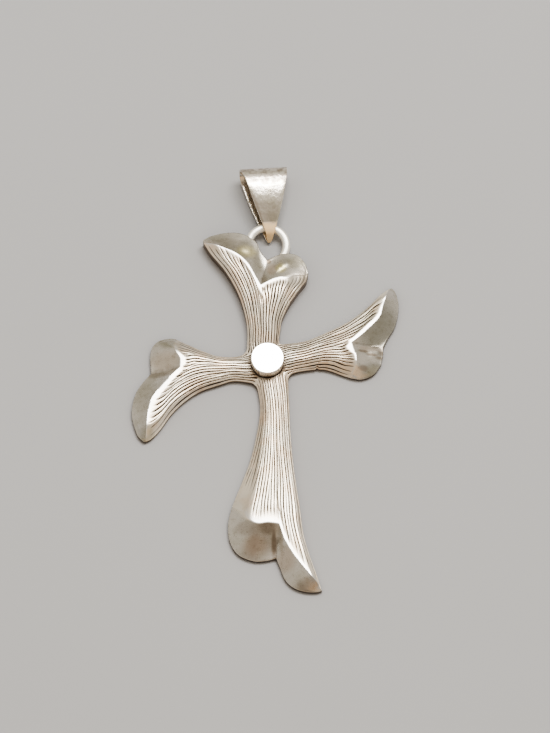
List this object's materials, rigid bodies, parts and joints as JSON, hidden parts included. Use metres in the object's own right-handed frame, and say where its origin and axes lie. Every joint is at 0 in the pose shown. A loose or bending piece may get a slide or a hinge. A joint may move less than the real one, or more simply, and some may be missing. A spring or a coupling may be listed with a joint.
{
  "type": "cross pendant",
  "caption": "Cross pendant with four fluted arms that flare into ridged lobes, a round button on the crossing, a soldered ring and a folded bail.",
  "frame": {"origin": "on the flat back of the cross, under the axis of the round button at the crossing", "axes": "+Z out of the front, +Y along the upright towards the bail, +X to the right of the cross seen from its front"},
  "size_m": [0.04, 0.0673, 0.0049],
  "materials": {
    "fluted_silver": "fluted silver with dark patina in the flutes and polished lobes",
    "polished_silver": "polished silver",
    "strap_silver": "worn polished silver with warm tint at the soldered tip"
  },
  "bodies": {
    "root": {"cross": "fluted_silver", "centre_button": "polished_silver", "bail": "strap_silver"}
  },
  "joints": []
}
